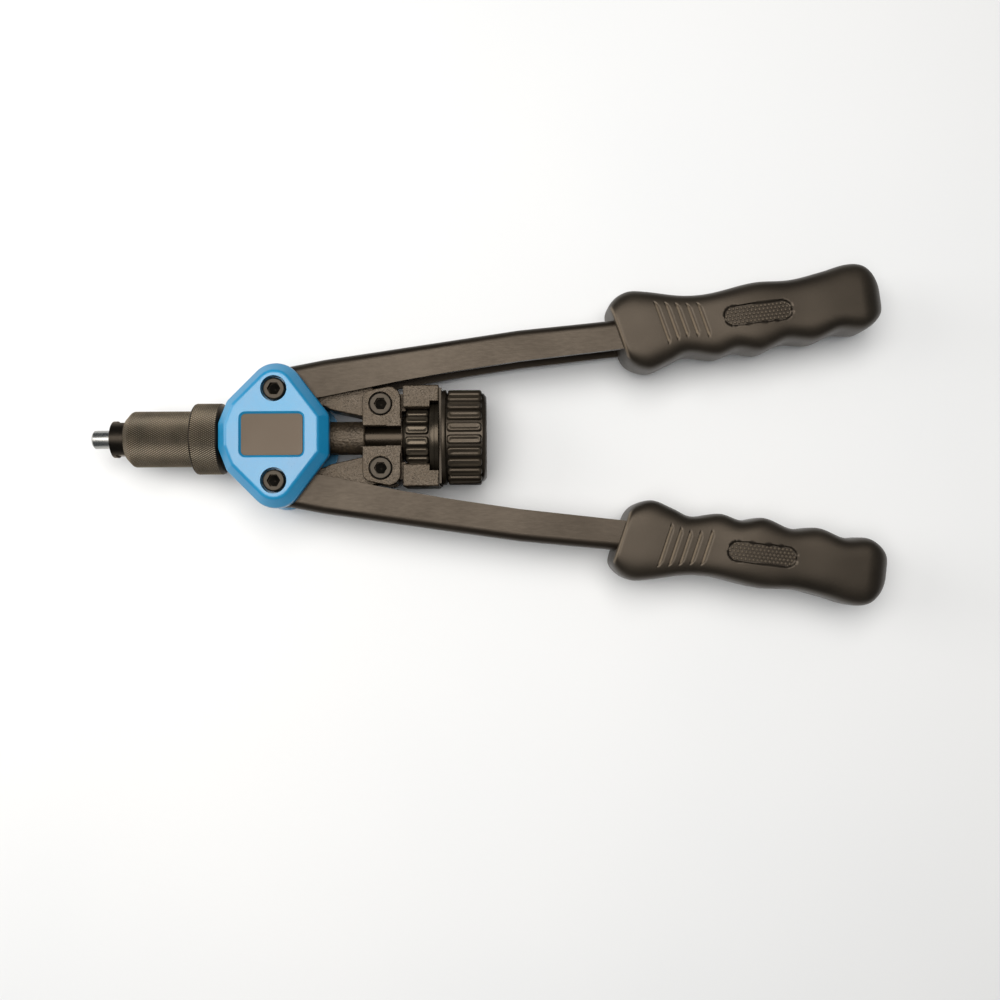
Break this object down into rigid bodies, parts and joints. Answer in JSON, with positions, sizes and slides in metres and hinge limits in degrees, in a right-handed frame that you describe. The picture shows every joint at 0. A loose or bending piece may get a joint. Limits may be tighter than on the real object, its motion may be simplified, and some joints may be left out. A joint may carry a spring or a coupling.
{
  "type": "hand riveter",
  "caption": "Double-lever hand tool for setting threaded rivet nuts: blue head, knurled nose, pull linkage, stroke wheel, rear knob and two rubber grips.",
  "frame": {"origin": "centre of the nosepiece's front face, on the mandrel axis", "axes": "+X along the mandrel axis from the nose to the handles, +Y towards the upper lever, +Z along the lever pivots, up when the tool lies flat"},
  "size_m": [0.3447, 0.149, 0.0414],
  "materials": {
    "blue_paint": "satin sky-blue paint",
    "label_black": "matt dark brown-black",
    "black_cast": "sandy black cast finish",
    "black_paint": "satin black paint",
    "black_oxide": "black oxide",
    "bright_steel": "ground steel",
    "bronze": "plain bronze",
    "grip_rubber": "matt rubber",
    "knob_plastic": "satin black"
  },
  "bodies": {
    "head": {"top_cover": "blue_paint", "bottom_cover": "blue_paint", "top_label": "label_black", "bottom_label": "label_black", "head_block": "black_cast", "dowel_pins": "bright_steel", "barrel": "black_oxide", "nose_sleeve": "black_oxide", "lock_collar": "black_oxide", "nosepiece": "bright_steel", "pivot_bolts": "black_oxide", "pivot_nuts": "black_oxide", "pivot_bushes": "bright_steel", "pivot_washers": "bright_steel"},
    "upper_lever": {"upper_arm": "black_paint", "upper_grip": "grip_rubber", "upper_crank_pin": "bright_steel", "upper_spacers": "bright_steel"},
    "lower_lever": {"lower_arm": "black_paint", "lower_grip": "grip_rubber", "lower_crank_pin": "bright_steel", "lower_spacers": "bright_steel"},
    "crosshead": {"crosshead": "black_cast", "link_screws": "black_oxide", "retainer_plate": "black_oxide", "retainer_screws": "black_oxide", "tube_key": "bright_steel"},
    "upper_link": {"upper_link": "black_oxide", "upper_link_bush": "bronze"},
    "lower_link": {"lower_link": "black_oxide", "lower_link_bush": "bronze"},
    "stroke_wheel": {"stroke_wheel": "black_oxide"},
    "pull_tube": {"pull_tube": "black_oxide"},
    "spindle": {"mandrel": "bright_steel", "mandrel_cap": "black_oxide", "drive_shaft": "bright_steel", "thrust_washer": "bright_steel", "rear_knob": "knob_plastic", "knob_screw": "black_oxide"}
  },
  "joints": [
    {"name": "upper_handle", "type": "hinge", "parent": "head", "child": "upper_lever", "pos_m": [0.0727, 0.01935, 0], "axis": [0, 0, 1], "range_deg": [0, 50]},
    {"name": "lower_handle", "type": "hinge", "parent": "head", "child": "lower_lever", "pos_m": [0.0727, -0.01935, 0], "axis": [0, 0, 1], "range_deg": [-50, 0]},
    {"name": "crosshead_slide", "type": "slide", "parent": "head", "child": "crosshead", "axis": [1, 0, 0], "range_m": [-0.00762, 0]},
    {"name": "upper_link_pivot", "type": "hinge", "parent": "crosshead", "child": "upper_link", "pos_m": [0.1166, 0.0138, 0], "axis": [0, 0, 1], "range_deg": [-16.3, 0]},
    {"name": "lower_link_pivot", "type": "hinge", "parent": "crosshead", "child": "lower_link", "pos_m": [0.1166, -0.0138, 0], "axis": [0, 0, 1], "range_deg": [0, 16.3]},
    {"name": "stroke_wheel_turn", "type": "hinge", "parent": "crosshead", "child": "stroke_wheel", "pos_m": [0.134, 0, 0], "axis": [1, 0, 0], "range_deg": [0, 720]},
    {"name": "tube_slide", "type": "slide", "parent": "crosshead", "child": "pull_tube", "axis": [1, 0, 0], "range_m": [0, 0.0025]},
    {"name": "spindle_spin", "type": "hinge", "parent": "pull_tube", "child": "spindle", "pos_m": [0.15, 0, 0], "axis": [1, 0, 0], "continuous": true}
  ],
  "couplings": [
    {"joint": "lower_handle", "follows": "upper_handle", "ratio": -1},
    {"joint": "crosshead_slide", "follows": "upper_handle", "m_per_rad": -0.008723},
    {"joint": "upper_link_pivot", "follows": "upper_handle", "ratio": -0.3254},
    {"joint": "lower_link_pivot", "follows": "upper_handle", "ratio": 0.3254},
    {"joint": "tube_slide", "follows": "stroke_wheel_turn", "m_per_rad": 0.00019894}
  ]
}
